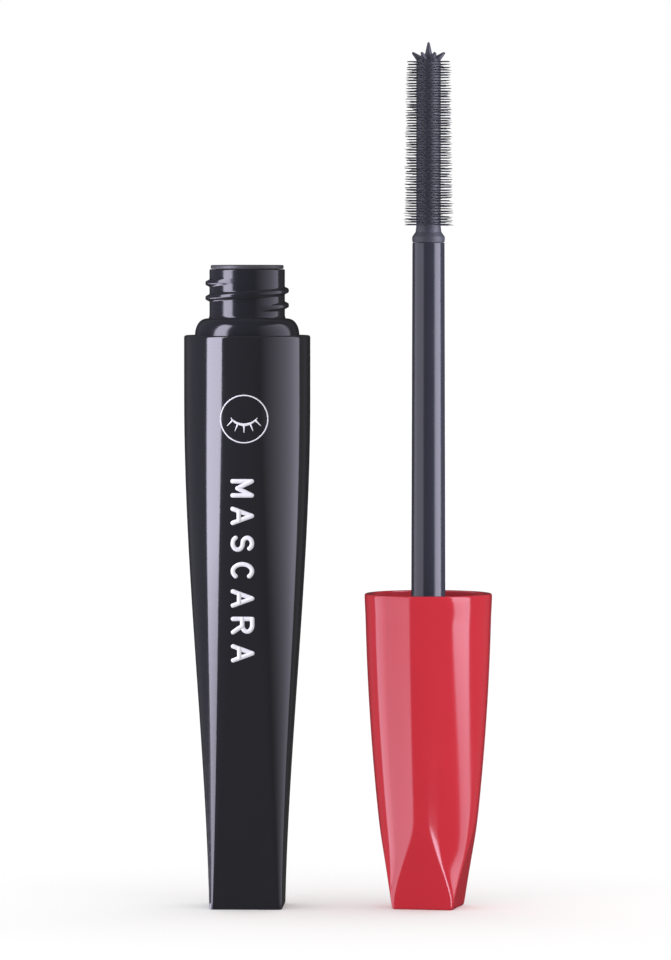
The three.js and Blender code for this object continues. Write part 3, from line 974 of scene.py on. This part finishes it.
def world():
    """White surroundings, dim in reflections so that black gloss stays black and edges are dark."""
    made = bpy.data.worlds.new("studio")
    made.use_nodes = True
    tree = made.node_tree
    light = tree.nodes["Background"]
    light.inputs["Color"].default_value = (1, 1, 1, 1)
    rays = tree.nodes.new("ShaderNodeLightPath")
    toward = tree.nodes.new("ShaderNodeTexCoord")
    split = tree.nodes.new("ShaderNodeSeparateXYZ")
    tree.links.new(toward.outputs["Generated"], split.inputs["Vector"])
    reflected = ramp(tree, split.outputs["Y"], *BEHIND, GLOSSY_WORLD, GLOSSY_BEHIND)
    direct = ramp(tree, rays.outputs["Is Glossy Ray"], 0, 1, 1, 0)
    level = combined(tree, "MAXIMUM", direct, reflected)
    tree.links.new(level, light.inputs["Strength"])
    bpy.context.scene.world = made


def ramp(tree, value, start, end, low, high=1.0):
    """A socket that goes from `low` to `high` while `value` goes from start to end."""
    made = tree.nodes.new("ShaderNodeMapRange")
    made.inputs["From Min"].default_value = start
    made.inputs["From Max"].default_value = end
    made.inputs["To Min"].default_value = low
    made.inputs["To Max"].default_value = high
    tree.links.new(value, made.inputs["Value"])
    return made.outputs["Result"]


def combined(tree, operation, first, second):
    """A socket with what an operation makes of two others."""
    made = tree.nodes.new("ShaderNodeMath")
    made.operation = operation
    tree.links.new(first, made.inputs[0])
    tree.links.new(second, made.inputs[1])
    return made.outputs["Value"]


def light_pattern(tree, span, dim, fade, bow):
    """Brightness over a softbox, from the height and the azimuth of each of its points."""
    place = tree.nodes.new("ShaderNodeNewGeometry")
    split = tree.nodes.new("ShaderNodeSeparateXYZ")
    tree.links.new(place.outputs["Position"], split.inputs["Vector"])
    height = split.outputs["Z"]
    azimuth = combined(tree, "ARCTAN2", split.outputs["Y"], split.outputs["X"])
    start, full, end = (math.radians(side - 90) for side in (span[0], fade[0], span[1]))
    dim_height, dim_level = dim
    level = ramp(tree, height, dim_height, 0, dim_level)
    if bow:
        down = ramp(tree, height, 0, dim_height, 0)
        moved = ramp(tree, combined(tree, "MULTIPLY", down, down), 0, 1, 0, math.radians(bow))
        azimuth = combined(tree, "SUBTRACT", azimuth, moved)
        level = combined(tree, "MULTIPLY", level, ramp(tree, azimuth, end, end - BOWED_EDGE, 0))
    level = combined(tree, "MULTIPLY", level, ramp(tree, azimuth, start, full, fade[1]))
    tree.links.new(level, tree.nodes["Emission"].inputs["Strength"])


def softbox(
    name, span, brightness, lit, dim=(-0.1, 0.2), heights=(-0.6, 0.7), fade=None, bow=0, room=0
):
    """A soft light that shines on `lit` alone, and that nothing else shades.

    It spans two azimuths, in degrees from the camera's side round to the right, and two heights. Its
    brightness is full at height 0 and above, and changes downwards to a part of that, by `dim`: the
    height and the part. From an azimuth back to the start of its span it fades to another part of
    it, by `fade`. Going down to the height of `dim` it bows `bow` degrees further round, as far as
    the `room` left past its span.
    """
    low, high = heights
    start, end = span[0], span[1] + room
    width = 2 * LIGHT_DISTANCE * math.tan(math.radians((end - start) / 2))
    data = bpy.data.lights.new(name, "AREA")
    data.shape = "RECTANGLE"
    data.size = width
    data.size_y = high - low
    data.color = LIGHT_TINT
    data.energy = brightness * math.pi * width * (high - low)
    data.use_nodes = True
    light_pattern(data.node_tree, span, dim, fade or (start + LIGHT_EDGE, 0), bow)
    made = bpy.data.objects.new(name, data)
    bpy.context.scene.collection.objects.link(made)
    side = math.radians((start + end) / 2)
    made.location.x = LIGHT_DISTANCE * math.sin(side)
    made.location.y = -LIGHT_DISTANCE * math.cos(side)
    made.location.z = (low + high) / 2
    made.rotation_euler = (math.pi / 2, 0, side)
    made.visible_camera = False
    group = bpy.data.collections.new(name)
    for thing in lit:
        group.objects.link(thing)
    made.light_linking.receiver_collection = group
    made.light_linking.blocker_collection = group


def camera():
    """Camera at the photograph's angle, a little to the right of the bottle's front."""
    data = bpy.data.cameras.new("camera")
    made = bpy.data.objects.new("camera", data)
    bpy.context.scene.collection.objects.link(made)
    made.location.x = CAMERA_DISTANCE * math.sin(CAMERA_SIDE)
    made.location.y = -CAMERA_DISTANCE * math.cos(CAMERA_SIDE)
    made.location.z = CAMERA_HEIGHT
    toward = TARGET - made.location
    made.rotation_euler = toward.to_track_quat("-Z", "Y").to_euler()
    data.lens = data.sensor_width * toward.length * PIXELS_PER_METRE / IMAGE_HEIGHT
    data.clip_end = VIEW_DEPTH
    bpy.context.scene.camera = made


floor()
world()
bpy.context.scene.view_settings.view_transform = "Standard"
even = (-0.3, 1)
softbox("bottle key", (-76, -44), 11.7, bottle_pieces)
softbox("bottle edge", (-128, -76), 8, bottle_pieces, dim=even, heights=(-0.6, -0.057))
softbox("bottle side", (25, 113), 2.5, bottle_pieces, fade=(100, 0))
softbox("cap broad", (-112, -32), 2.2, cap_pieces, dim=(-0.14, 1.45), fade=(-40, 0.75))
softbox("wand broad", (-112, -32), 2.3, wand_pieces, dim=even)
softbox("cap key", (45, 83), 5.6, cap_pieces, dim=(-0.17, 0.05), bow=90, room=30)
softbox("cap ridge", (3, 24), 10, cap_pieces, dim=even, heights=(-0.25, -0.16))
softbox("stem key", (42, 96), 8.2, wand_pieces, dim=even, fade=(54, 0))
camera()
